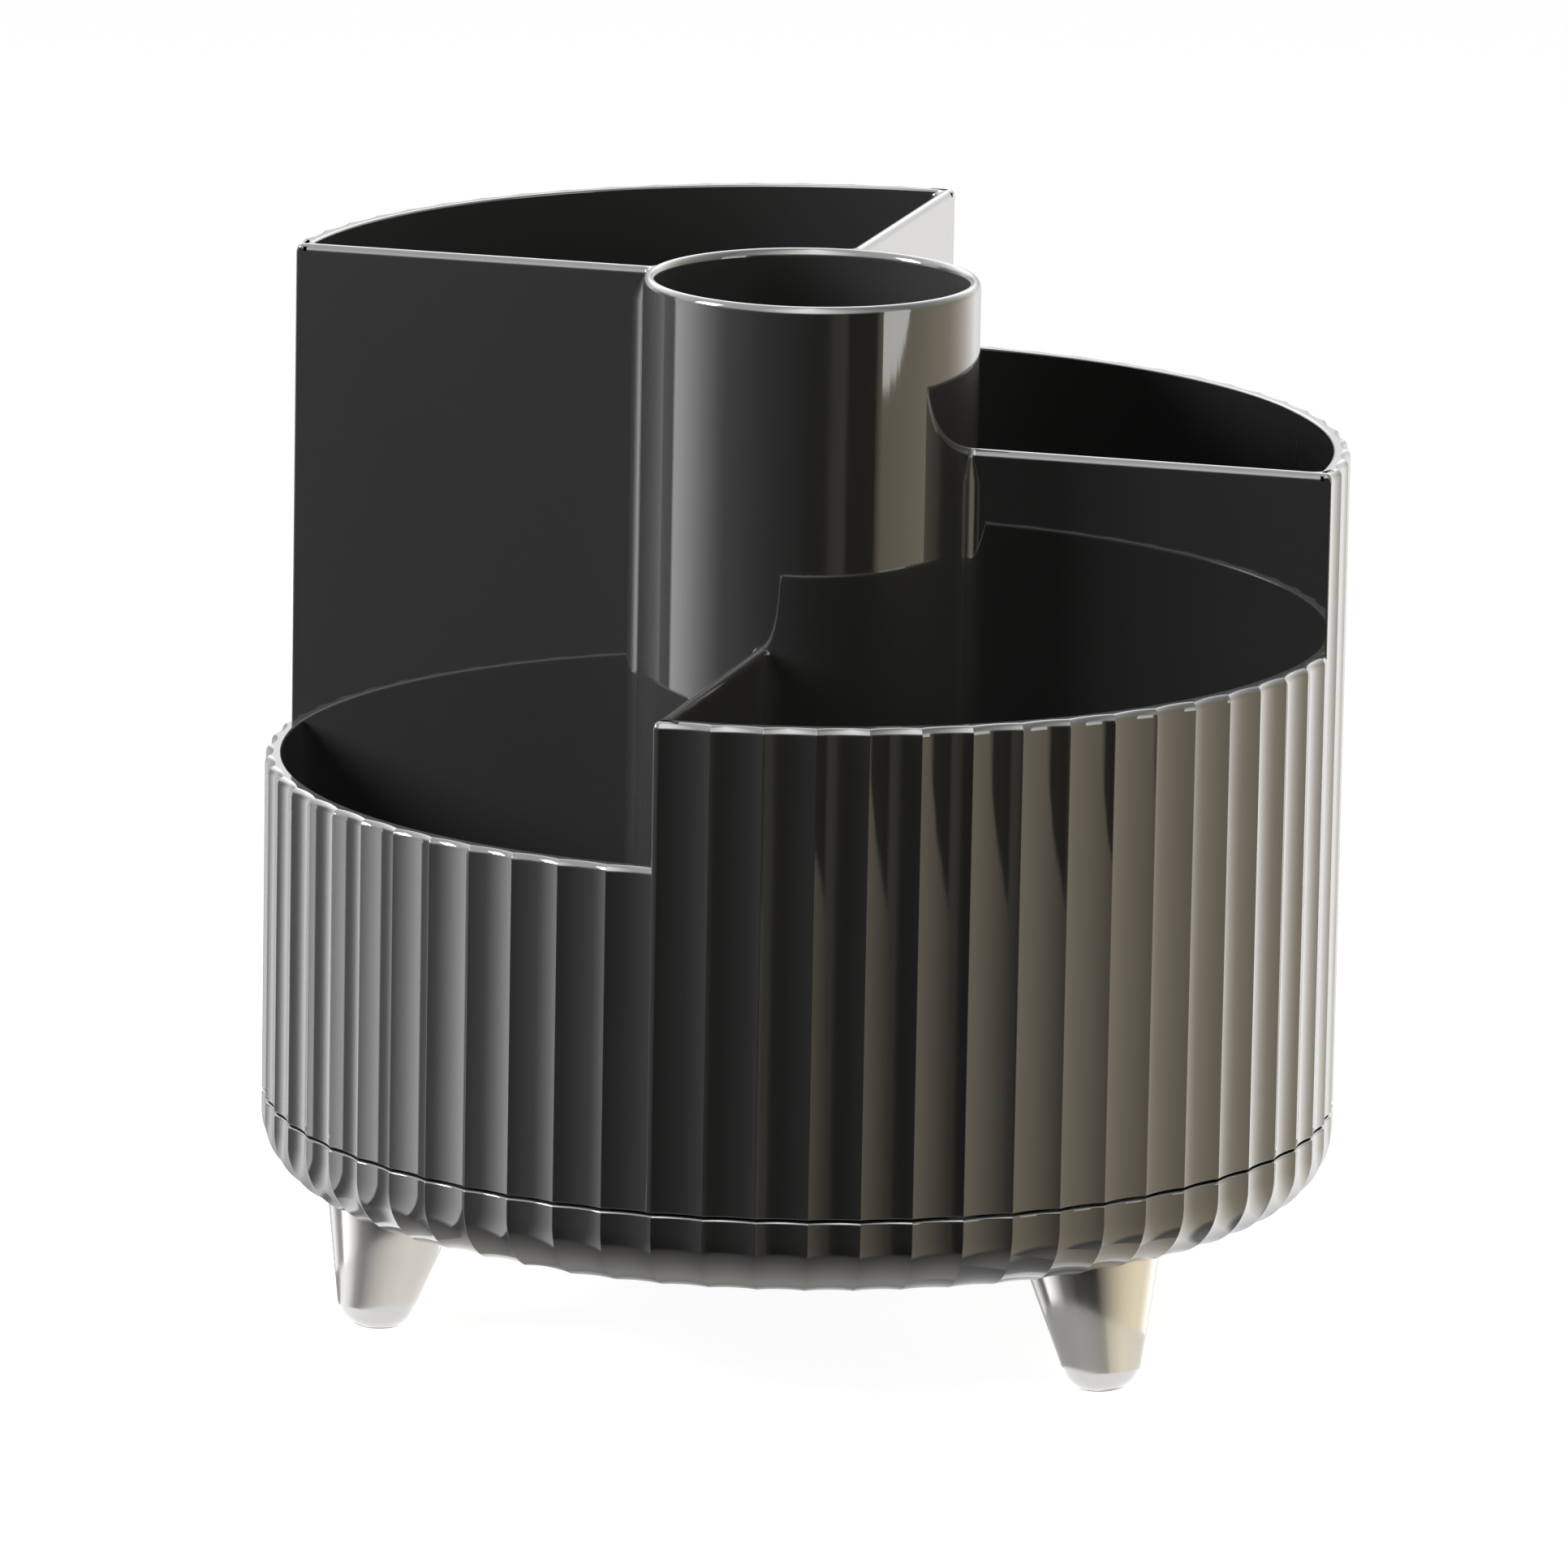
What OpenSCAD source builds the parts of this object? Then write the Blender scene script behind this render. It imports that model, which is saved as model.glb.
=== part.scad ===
// Rotating makeup organizer: a fluted round body with four stepped compartments
// around a centre tube, turning on a ball-bearing ring above a footed base.
// The z axis is the turning axis, z = 0 is the table and the front divider
// points along -y.

/* [Overall] */
// Diameter over the crests of the flutes
body_d = 150; // [146:1:166]
// Height of the centre tube and the rear-left section above the table
tall_h = 146.5; // [138:0.5:165]
// Height of the rear-right section above the table
mid_h = 124; // [112:0.5:134]
// Height of the front-right section above the table
low_h = 98.8; // [90:0.1:108]
// Height of the front-left section above the table
lowest_h = 78.6; // [66:0.1:86]

/* [Flutes] */
// Number of flutes round the outside
flute_count = 66; // [48:2:84]
// Depth of a flute below the crests
flute_depth = 0.9; // [0.5:0.1:1.3]
// Width of the narrow land left on each crest
crest_w = 0.4; // [0.3:0.1:0.8]

/* [Walls] */
// Thickness of the outer wall at the bottom of a flute
shell_t = 1.5; // [1.2:0.1:2.4]
// Outer diameter of the centre tube
tube_d = 46.8; // [40:0.2:54]
// Wall thickness of the centre tube
tube_t = 1.7; // [1.2:0.1:2.6]
// Thickness of the four dividers
divider_t = 1.7; // [1.2:0.1:2.6]
// Radius of the fillets where the dividers meet the tube
root_r = 2.5; // [1.5:0.1:4]
// Thickness of the floor of the compartments
floor_t = 2.2; // [1.8:0.1:3.4]

/* [Base] */
// Height of the base ring, from its underside to the seam
base_h = 11.4; // [11:0.1:14]
// Outer radius of the rounded bottom edge of the base
base_corner_r = 8.8; // [5:0.1:9.4]
// Thickness of the base floor
base_floor_t = 2.4; // [2:0.1:3]
// Height of the seat that carries the inner ring
seat_h = 2; // [1.5:0.1:3]
// Running gap at the seam between the base and the body
seam_gap = 0.5; // [0.3:0.1:0.8]

/* [Feet] */
// Height of a foot, from the table to the underside of the base
foot_h = 19.3; // [17:0.1:24]
// Distance of the foot tips from the crests of the flutes
foot_inset = 14.2; // [13.5:0.1:16]
// Outward lean of a foot, in degrees
foot_splay = 9; // [4:0.5:11]
// Half angle of the cone of a foot, in degrees
foot_flare = 14.5; // [10:0.5:16]
// Radius of the cone at the tip, before rounding
foot_tip_r = 4.55; // [4.2:0.05:5.5]
// Radius of the rounding at the tip
foot_round_r = 3.5; // [2.5:0.1:4]
// Depth of the flat that is cut on the tip, past the end of the cone
foot_flat_cut = 0.12; // [0.08:0.01:0.3]

/* [Turntable bearing] */
// Pitch diameter of the balls
race_d = 80; // [72:1:86]
// Diameter of a ball
ball_d = 4; // [3.5:0.1:4.4]
// Number of balls
ball_count = 24; // [16:1:36]
// Height of each bearing ring
ring_h = 7; // [6.4:0.1:8]
// Gap between the two bearing rings
ring_gap = 1.6; // [1.6:0.1:2]
// Radial width of the inner ring
inner_ring_w = 9.2; // [8:0.1:12]
// Radial width of the outer ring
outer_ring_w = 7.2; // [7:0.1:8.4]
// Height of the outer ring above the level of the inner ring
ring_step = 1.5; // [1.2:0.1:2]
// Thickness of the ball cage
cage_t = 1; // [0.8:0.05:1.1]
// Height of the ball cage
cage_h = 6; // [5.5:0.1:6.2]
// Height of the rib under the floor that seats on the outer ring
rib_h = 3.8; // [3.4:0.1:5]

/* [Fasteners] */
// Number of screws in each bearing ring
ring_screw_count = 4; // [3:1:6]
// Diameter of the ring screws
ring_screw_d = 3; // [2.5:0.1:3.4]
// Length of the screws from the outer ring into the body
body_screw_l = 12; // [10:0.5:12.5]
// Length of the screws from the base into the inner ring
base_screw_l = 8; // [6:0.5:8.5]
// Diameter of the heads of the ring screws
ring_head_d = 5.6; // [5:0.1:6.2]
// Height of the heads of the ring screws
ring_head_h = 2; // [1.6:0.1:2.2]
// Diameter of the foot screws
foot_screw_d = 4; // [3.5:0.1:4.2]
// Length of the foot screws
foot_screw_l = 10; // [8:0.5:10]
// Diameter of the heads of the foot screws
foot_head_d = 7.4; // [6.6:0.1:8.4]
// Height of the heads of the foot screws
foot_head_h = 2.6; // [2:0.1:3.2]
// Outer diameter of the foot washers
washer_d = 9; // [8.6:0.1:10]
// Thickness of the foot washers
washer_t = 0.8; // [0.5:0.1:1.2]
// Outer diameter of the threaded inserts
insert_d = 5.6; // [5.4:0.1:6.2]
// Length of the threaded inserts
insert_l = 7; // [6:0.1:8]

/* [Hidden] */
$fn = 96;
// Facets of the thin outer wall, where they would change its thickness
shell_fn = 360;

// Radial clearance of screws in their holes
hole_play = 0.05;
// Radial clearance of clamped screws in washers and plates
through_play = 0.2;
// Radial clearance of a ball in the ring grooves
ball_play = 0.05;
// Radial clearance of a ball in its cage pocket
pocket_play = 0.1;
// Extra depth of a blind hole past the end of its screw
tip_play = 0.3;
// Depth that a screw head lies below the face of its recess
head_sink = 0.6;
// Overrun of every cutting tool past the face that it cuts
cut = 1;

// Radii of the body
body_r = body_d / 2;
valley_r = body_r - flute_depth;
inner_r = valley_r - shell_t;
tube_r = tube_d / 2;
rim_mid_r = inner_r + shell_t / 2;
rim_in_r = shell_t / 2;
rim_out_r = shell_t / 2 + flute_depth;

// One flute is a cylinder that leaves a land of crest_w on each crest
flute_pitch = 360 / flute_count;
flute_half = body_r * sin(flute_pitch / 2) - crest_w / 2;
flute_sag = sqrt(body_r * body_r - flute_half * flute_half) - valley_r;
flute_r = (flute_half * flute_half + flute_sag * flute_sag) / (2 * flute_sag);
flute_axis_r = valley_r + flute_r;

// Levels, from the table up
base_z = foot_h;
base_floor_z = base_z + base_floor_t;
inner_ring_z = base_floor_z + seat_h;
inner_ring_top = inner_ring_z + ring_h;
outer_ring_z = inner_ring_z + ring_step;
outer_ring_top = outer_ring_z + ring_h;
ball_z = (outer_ring_z + inner_ring_top) / 2;
floor_z = outer_ring_top + rib_h;
floor_top = floor_z + floor_t;
seam_z = base_z + base_h;
skirt_z = seam_z + seam_gap;
recess_h = ring_head_h + head_sink;

// Radii of the bearing
race_r = race_d / 2;
inner_ring_r = race_r - ring_gap / 2;
outer_ring_r = race_r + ring_gap / 2;
inner_screw_r = inner_ring_r - inner_ring_w / 2;
outer_screw_r = outer_ring_r + outer_ring_w / 2;
// Plastic left on each side of a screw in the rib
rib_wall_t = 1.2;
rib_w = ring_screw_d + 2 * rib_wall_t;
// The first ring screws stand midway between the dividers
first_screw_a = 45;

// Three feet, as angles from the front
foot_angles = [-60, 60, 180];
foot_tip_at = body_r - foot_inset;
foot_slope_l = foot_round_r * (1 - sin(foot_flare)) / cos(foot_flare);
foot_round_x = foot_tip_r + foot_slope_l * sin(foot_flare) - foot_round_r * cos(foot_flare);
foot_sink = foot_round_x * sin(foot_splay) + foot_flat_cut;
foot_top_at = foot_tip_at - (foot_h + foot_sink) * tan(foot_splay);
foot_len = foot_h / cos(foot_splay) + foot_tip_r;

// Places its children at radius r, a degrees round from the front to the right
module at(a, r = 0, z = 0) {
    rotate([0, 0, a - 90])
        translate([r, 0, z])
            children();
}

// The flutes from the first number to the last, as cutting tools
module flutes(first, last, z0, z1) {
    for (i = [first : last])
        at((i + 1 / 2) * flute_pitch, flute_axis_r, z0 - cut)
            cylinder(r = flute_r, h = z1 - z0 + 2 * cut);
}

// A quarter of the plane, from the corner at (x, y), that opens along sx and sy
module quarter(x, y, sx, sy) {
    translate([sx > 0 ? x : x - body_d, sy > 0 ? y : y - body_d])
        square(body_d);
}

// Half of the section of the outer wall, with its rounded rim
module wall_profile(top) {
    translate([inner_r, floor_top])
        square([body_r - inner_r, top - rim_out_r - floor_top]);
    translate([inner_r, floor_top])
        square([shell_t / 2, top - rim_in_r - floor_top]);
    translate([rim_mid_r, top - rim_in_r])
        circle(rim_in_r);
    intersection() {
        translate([rim_mid_r, top - rim_out_r])
            circle(rim_out_r);
        translate([rim_mid_r, top - rim_out_r])
            square(rim_out_r);
    }
}

// One stepped section of the fluted outer wall, a quarter turn from from_a on
module wall_section(top, x, y, sx, sy, from_a) {
    first = floor(from_a / flute_pitch) - 1;
    last = ceil((from_a + 90) / flute_pitch);
    difference() {
        intersection() {
            rotate_extrude($fn = shell_fn)
                wall_profile(top);
            translate([0, 0, floor_top])
                linear_extrude(top - floor_top)
                    quarter(x, y, sx, sy);
        }
        flutes(first, last, floor_top, top);
    }
}

// One divider with its rounded rim, from the tube out to the fluted face
module divider(a, top) {
    half = divider_t / 2;
    nearest = floor(a / flute_pitch);
    root_x = sqrt(pow(tube_r + root_r, 2) - pow(half + root_r, 2));
    root_y = (half + root_r) * tube_r / (tube_r + root_r);
    color("#141312")
        difference() {
            union() {
                at(a, 0, floor_top)
                    translate([0, -half, 0])
                        cube([body_r, divider_t, top - half - floor_top]);
                at(a, 0, top - half)
                    rotate([0, 90, 0])
                        cylinder(r = half, h = body_r);
                at(a, 0, floor_top)
                    linear_extrude(top - half - floor_top)
                        difference() {
                            translate([0, -root_y])
                                square([root_x, 2 * root_y]);
                            for (side = [-1, 1])
                                translate([root_x, side * (half + root_r)])
                                    circle(root_r);
                        }
            }
            translate([0, 0, floor_top - cut])
                cylinder(r = tube_r, h = top - floor_top + 2 * cut);
            difference() {
                translate([0, 0, floor_top - cut])
                    cylinder(r = body_d, h = top - floor_top + 2 * cut);
                translate([0, 0, floor_top - 2 * cut])
                    cylinder(r = body_r, h = top - floor_top + 4 * cut);
            }
            flutes(nearest - 1, nearest + 1, floor_top, top);
        }
}

module center_tube() {
    color("#141312")
        rotate_extrude() {
            translate([tube_r - tube_t, floor_top])
                square([tube_t, tall_h - tube_t / 2 - floor_top]);
            translate([tube_r - tube_t / 2, tall_h - tube_t / 2])
                circle(tube_t / 2);
        }
}

module front_divider() {
    divider(0, low_h);
}

module right_divider() {
    divider(90, mid_h);
}

module rear_divider() {
    divider(180, tall_h);
}

module left_divider() {
    divider(270, tall_h);
}

module tall_wall() {
    color("#141312")
        wall_section(tall_h, -divider_t / 2, divider_t / 2, -1, 1, 180);
}

module mid_wall() {
    color("#141312")
        wall_section(mid_h, divider_t / 2, divider_t / 2, 1, 1, 90);
}

module low_wall() {
    color("#141312")
        wall_section(low_h, divider_t / 2, -divider_t / 2, 1, -1, 0);
}

module lowest_wall() {
    color("#141312")
        wall_section(lowest_h, -divider_t / 2, -divider_t / 2, -1, -1, 270);
}

// The floor of the compartments, with the skirt and the rib that seats on the ring
module body_floor() {
    color("#141312")
        difference() {
            rotate_extrude() {
                translate([0, floor_z])
                    square([body_r, floor_t]);
                translate([inner_r, skirt_z])
                    square([body_r - inner_r, floor_top - skirt_z]);
                translate([outer_screw_r - rib_w / 2, outer_ring_top])
                    square([rib_w, floor_top - outer_ring_top]);
            }
            flutes(1, flute_count, skirt_z, floor_top);
            ring_holes(outer_screw_r, ring_screw_d / 2 + hole_play,
                       outer_ring_top - cut, outer_ring_z + body_screw_l + tip_play);
        }
}

// Vertical holes for the ring screws, from one level to another
module ring_holes(r, hole_r, z0, z1) {
    for (i = [0 : ring_screw_count - 1])
        at(first_screw_a + i * 360 / ring_screw_count, r, z0)
            cylinder(r = hole_r, h = z1 - z0);
}

// The torus that the balls run in
module ball_groove() {
    rotate_extrude()
        translate([race_r, ball_z])
            circle(ball_d / 2 + ball_play);
}

module outer_bearing_ring() {
    color("#b9bbbd")
        difference() {
            rotate_extrude()
                translate([outer_ring_r, outer_ring_z])
                    square([outer_ring_w, ring_h]);
            ball_groove();
            ring_holes(outer_screw_r, ring_screw_d / 2 + through_play,
                       outer_ring_z - cut, outer_ring_top + cut);
        }
}

module inner_bearing_ring() {
    color("#b9bbbd")
        difference() {
            rotate_extrude()
                translate([inner_ring_r - inner_ring_w, inner_ring_z])
                    square([inner_ring_w, ring_h]);
            ball_groove();
            ring_holes(inner_screw_r, ring_screw_d / 2 + hole_play,
                       inner_ring_z - cut, inner_ring_top + cut);
        }
}

module ball_cage() {
    color("#e6e4dc")
        difference() {
            rotate_extrude()
                translate([race_r - cage_t / 2, ball_z - cage_h / 2])
                    square([cage_t, cage_h]);
            for (i = [0 : ball_count - 1])
                at(i * 360 / ball_count, race_r - cage_t, ball_z)
                    rotate([0, 90, 0])
                        cylinder(r = ball_d / 2 + pocket_play, h = 2 * cage_t);
        }
}

module bearing_balls() {
    color("#c9ccd0")
        for (i = [0 : ball_count - 1])
            at(i * 360 / ball_count, race_r, ball_z)
                sphere(r = ball_d / 2);
}

// A pan-head screw that points up from z = 0, with its head below
module screw(d, l, head_d, head_h) {
    cylinder(r = d / 2, h = l);
    translate([0, 0, -head_h])
        cylinder(r = head_d / 2, h = head_h);
}

module body_screws() {
    color("#8d9094")
        for (i = [0 : ring_screw_count - 1])
            at(first_screw_a + i * 360 / ring_screw_count, outer_screw_r, outer_ring_z)
                screw(ring_screw_d, body_screw_l, ring_head_d, ring_head_h);
}

module base_screws() {
    color("#8d9094")
        for (i = [0 : ring_screw_count - 1])
            at(first_screw_a + i * 360 / ring_screw_count, inner_screw_r, base_z + recess_h)
                screw(ring_screw_d, base_screw_l, ring_head_d, ring_head_h);
}

// The section of the base: a shallow dish with a rounded bottom edge
module base_profile() {
    wall = body_r - inner_r;
    corner_x = body_r - base_corner_r;
    corner_z = base_z + base_corner_r;
    difference() {
        union() {
            translate([0, base_z])
                square([corner_x, base_h]);
            translate([0, corner_z])
                square([body_r, seam_z - corner_z]);
            translate([corner_x, corner_z])
                circle(base_corner_r);
        }
        translate([0, base_floor_z])
            square([corner_x, base_h]);
        translate([0, base_floor_z + base_corner_r - wall])
            square([inner_r, base_h]);
        translate([corner_x, base_floor_z + base_corner_r - wall])
            circle(base_corner_r - wall);
        translate([0, seam_z])
            square([body_d, base_h]);
    }
    translate([inner_ring_r - inner_ring_w, base_floor_z])
        square([inner_ring_w, seat_h]);
}

module base_dish() {
    color("#141312")
        difference() {
            rotate_extrude()
                base_profile();
            flutes(1, flute_count, base_z, seam_z);
            ring_holes(inner_screw_r, ring_screw_d / 2 + through_play,
                       base_z - cut, inner_ring_z + cut);
            ring_holes(inner_screw_r, ring_head_d / 2 + through_play,
                       base_z - cut, base_z + recess_h);
            for (a = foot_angles)
                at(a, foot_top_at, base_z - cut)
                    cylinder(r = foot_screw_d / 2 + through_play, h = base_floor_t + 2 * cut);
        }
}

// Half of the section of a foot along its own axis, with the rounded tip
module foot_profile() {
    tangent_x = foot_tip_r + foot_slope_l * sin(foot_flare);
    tangent_y = foot_slope_l * cos(foot_flare);
    intersection() {
        union() {
            polygon([
                [0, 0],
                [foot_round_x, 0],
                [tangent_x, tangent_y],
                [foot_tip_r + foot_len * tan(foot_flare), foot_len],
                [0, foot_len]
            ]);
            translate([foot_round_x, foot_round_r])
                circle(foot_round_r);
        }
        square([foot_len, foot_len]);
    }
}

// One splayed conical foot, cut flat on the table and under the base
module foot(a) {
    color("#d8d8d6")
        difference() {
            at(a, foot_tip_at, -foot_sink)
                rotate([0, -foot_splay, 0])
                    rotate_extrude()
                        foot_profile();
            translate([-body_d, -body_d, -foot_len])
                cube([2 * body_d, 2 * body_d, foot_len]);
            translate([-body_d, -body_d, foot_h])
                cube([2 * body_d, 2 * body_d, foot_len]);
            at(a, foot_top_at, foot_h - insert_l)
                cylinder(r = insert_d / 2, h = insert_l + cut);
            at(a, foot_top_at, foot_h + base_floor_t + washer_t - foot_screw_l - tip_play)
                cylinder(r = foot_screw_d / 2 + hole_play, h = foot_screw_l);
        }
}

module front_left_foot() {
    foot(foot_angles[0]);
}

module front_right_foot() {
    foot(foot_angles[1]);
}

module rear_foot() {
    foot(foot_angles[2]);
}

module foot_inserts() {
    color("#b08d4f")
        for (a = foot_angles)
            at(a, foot_top_at, foot_h - insert_l)
                difference() {
                    cylinder(r = insert_d / 2, h = insert_l);
                    translate([0, 0, -cut])
                        cylinder(r = foot_screw_d / 2 + hole_play, h = insert_l + 2 * cut);
                }
}

module foot_washers() {
    color("#a7aaad")
        for (a = foot_angles)
            at(a, foot_top_at, base_floor_z)
                difference() {
                    cylinder(r = washer_d / 2, h = washer_t);
                    translate([0, 0, -cut])
                        cylinder(r = foot_screw_d / 2 + through_play, h = washer_t + 2 * cut);
                }
}

module foot_screws() {
    color("#8d9094")
        for (a = foot_angles)
            at(a, foot_top_at, base_floor_z + washer_t)
                rotate([180, 0, 0])
                    screw(foot_screw_d, foot_screw_l, foot_head_d, foot_head_h);
}

center_tube();
front_divider();
right_divider();
rear_divider();
left_divider();
tall_wall();
mid_wall();
low_wall();
lowest_wall();
body_floor();
outer_bearing_ring();
body_screws();
ball_cage();
bearing_balls();
inner_bearing_ring();
base_screws();
base_dish();
front_left_foot();
front_right_foot();
rear_foot();
foot_inserts();
foot_washers();
foot_screws();
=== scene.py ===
"""Looks of the rotating makeup organizer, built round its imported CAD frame.

The shape code works in millimetres, and each mesh is scaled once, where it is made. Angles in
plan run round from the front to the right; those of the lights are measured from the camera.
"""

import math

import bpy
import numpy as np
from mathutils import Matrix, Vector


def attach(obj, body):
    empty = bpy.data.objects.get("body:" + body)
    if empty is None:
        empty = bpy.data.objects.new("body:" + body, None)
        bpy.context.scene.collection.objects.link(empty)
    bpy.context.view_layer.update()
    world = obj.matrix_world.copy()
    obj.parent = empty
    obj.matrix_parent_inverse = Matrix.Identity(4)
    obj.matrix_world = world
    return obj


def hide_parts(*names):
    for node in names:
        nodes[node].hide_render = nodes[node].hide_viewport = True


MM = 0.001
TAU = 2 * math.pi
QUARTER = math.pi / 2

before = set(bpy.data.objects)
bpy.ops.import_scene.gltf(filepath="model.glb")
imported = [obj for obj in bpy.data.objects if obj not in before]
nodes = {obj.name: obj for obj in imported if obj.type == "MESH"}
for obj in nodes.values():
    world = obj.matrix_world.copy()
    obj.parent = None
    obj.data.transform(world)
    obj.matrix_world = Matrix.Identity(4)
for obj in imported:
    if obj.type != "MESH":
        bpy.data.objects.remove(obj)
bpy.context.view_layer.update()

# The fluted outline, in millimetres like all sizes of the object
BODY_R = 75.0
VALLEY_R = 74.46
CREST_ROUND = 0.18
FLUTES = 66
PITCH = TAU / FLUTES
FLUTE_STEPS = 241
CREST_STEPS = 61

# Mesh columns along the outline: width of a crest, and the closest that two columns may come
CREST_HALF_TURN = 1.6 * CREST_ROUND / BODY_R
CREST_COLUMNS = 4
FLUTE_COLUMNS = 21
MERGE_TURN = 2e-5

# Walls and rims. A rim's round is RIM_RISE times as high as it is wide
INNER_R = 72.6
RIM_MID_R = 73.35
RIM_EDGE_R = 0.85
RIM_IN_R = 0.35
RIM_RISE = 1.35
LOWEST_H = 78.6
LOW_H = 98.8
MID_H = 124.0
TALL_H = 146.5
PLAIN_Z = LOWEST_H - 6
RIM_GAP = 1.0
RIM_GAP_OUT = 0.5

# Rounded ends of the walls, at the corners where the body steps down
EDGE_R = 0.3
HALF_T = 0.85
END_REACH = HALF_T - 0.01
END_ROUND = HALF_T - 0.05
END_SET = 1e-3
END_STEPS = 6

# Rows of a wall's section: up the bevel at the seam, up the face, over the rim and down inside
SEAM_ROWS = 6
FACE_ROWS = 3
OUTER_ROWS = 9
INNER_ROWS = 7
FIRST_OUTER = SEAM_ROWS + FACE_ROWS

# Dividers. The fillet at their root grows small below the rim
DIVIDER_ROUND = HALF_T - 0.02
DIVIDER_END_R = RIM_MID_R + 0.35
CORNER_R = 1.6
ROOT_R = 2.5
ROOT_TOP_R = 0.7
ROOT_FADE = 3.5

# Centre tube and compartment floor
TUBE_R = 23.4
TUBE_IN_R = 21.7
FLOOR_Z = 36.0
FLOOR_TOP = 38.2
FLOOR_EDGE_R = INNER_R + 0.3
SUNK_Z = FLOOR_Z + 1.0

# Seam and base
SEAM_Z = 30.7
SKIRT_Z = 31.02
SEAM_BEVEL = 0.2
SEAM_END_R = SEAM_BEVEL - 0.02
BASE_Z = 19.3
BASE_BEVEL = 0.4
BASE_CORNER_R = 8.8
BASE_T = 2.4
BASE_INNER_R = VALLEY_R - 1.2
BASE_DISC_R = 20.0
CORNER_GAP = 0.6
FLUTE_FADE = 0.8

# Feet
FOOT_TIP_AT = 60.8
FOOT_SPLAY = math.radians(9.0)
FOOT_FLARE = math.radians(14.5)
FOOT_TIP_R = 4.55
FOOT_ROUND_R = 4.2
FOOT_FLAT_CUT = 0.12
FOOT_LENGTH = 24.0
FOOT_TOP_Z = BASE_Z + 0.2
FOOT_ANGLES = (-60.0, 60.0, 180.0)

TINY_R = 0.001


class Shell:
    """Collects grids of points with their own normals into one mesh."""

    def __init__(self):
        self.points = []
        self.normals = []
        self.faces = []
        self.count = 0

    def grid(self, points, normals, close_rows=False, close_cols=False, flip=False):
        rows, cols = points.shape[:2]
        base = self.count
        self.points.append(points.reshape(-1, 3))
        length = np.linalg.norm(normals, axis=2, keepdims=True)
        self.normals.append((normals / np.maximum(length, 1e-12)).reshape(-1, 3))
        self.count += rows * cols
        for i in range(rows if close_rows else rows - 1):
            next_row = (i + 1) % rows
            for j in range(cols if close_cols else cols - 1):
                next_col = (j + 1) % cols
                quad = [
                    base + i * cols + j,
                    base + i * cols + next_col,
                    base + next_row * cols + next_col,
                    base + next_row * cols + j,
                ]
                if flip:
                    quad.reverse()
                self.faces.append(quad)

    def fan(self, ring, normal, centre=None, flip=False):
        """A flat cap over a ring of points."""
        base = self.count
        middle = np.mean(ring, axis=0) if centre is None else np.array(centre, float)
        self.points.append(np.vstack([ring, middle[None, :]]))
        self.normals.append(np.tile(np.array(normal, float), (len(ring) + 1, 1)))
        self.count += len(ring) + 1
        last = base + len(ring)
        for i in range(len(ring)):
            triangle = [base + i, base + (i + 1) % len(ring), last]
            if flip:
                triangle.reverse()
            self.faces.append(triangle)

    def build(self, name):
        points = np.vstack(self.points) * MM
        normals = np.vstack(self.normals)
        mesh = bpy.data.meshes.new(name)
        mesh.from_pydata(points.tolist(), [], self.faces)
        mesh.polygons.foreach_set("use_smooth", [True] * len(mesh.polygons))
        mesh.update()
        mesh.normals_split_custom_set_from_vertices(normals.tolist())
        obj = bpy.data.objects.new(name, mesh)
        bpy.context.scene.collection.objects.link(obj)
        return obj


def outward(points, normals):
    """True if the faces of a grid, wound as grid() winds them, face along its normals."""
    a = points[1:, :-1] - points[:-1, :-1]
    b = points[:-1, 1:] - points[:-1, :-1]
    n = np.cross(b, a)
    return float((n * normals[:-1, :-1]).sum()) > 0


def outward_fan(ring):
    """True if a level ring, wound as fan() winds it, faces up."""
    a, b, c = ring[0], ring[1], np.mean(ring, axis=0)
    return np.cross(b - a, c - a)[2] > 0


def add(shell, points, normals, **closed):
    shell.grid(points, normals, flip=not outward(points, normals), **closed)


def az(angle, radius=1.0):
    """Point in plan at an angle round from the front to the right."""
    angle = np.asarray(angle, float)
    return np.stack([np.sin(angle) * radius, -np.cos(angle) * radius], axis=-1)


def flute_outline():
    """One flute in plan, a concave arc with a small round on its crest.

    Returns angles, radii, and how far the normal turns from the radius at each.
    """
    half = PITCH / 2
    k = 1 - math.cos(half)
    crest_c = BODY_R - CREST_ROUND
    gap = VALLEY_R - crest_c
    # Radius of the arc that touches the valley circle and the crest rounds
    top = gap * gap + 2 * VALLEY_R * crest_c * k - CREST_ROUND * CREST_ROUND
    radius = top / (2 * CREST_ROUND - 2 * gap - 2 * crest_c * k)
    axis = VALLEY_R + radius
    crest = np.array([crest_c * math.cos(half), crest_c * math.sin(half)])
    toward = crest - np.array([axis, 0.0])
    psi = math.atan2(toward[1], -toward[0])
    samples = []
    for t in np.linspace(-psi, psi, FLUTE_STEPS):
        n = np.array([math.cos(t), -math.sin(t)])
        p = np.array([axis, 0.0]) - radius * n
        samples.append((p, n))
    chi = psi + half
    for t in np.linspace(-chi, chi, CREST_STEPS)[1:-1]:
        a = half + t
        n = np.array([math.cos(a), math.sin(a)])
        samples.append((crest + CREST_ROUND * n, n))
    theta = np.array([math.atan2(p[1], p[0]) for p, n in samples])
    radii = np.array([np.linalg.norm(p) for p, n in samples])
    tilt = np.array([math.atan2(n[1], n[0]) for p, n in samples]) - theta
    order = np.argsort(theta)
    return theta[order], radii[order], tilt[order]


FLUTE_TURN, FLUTE_RADII, FLUTE_TILT = flute_outline()


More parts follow.
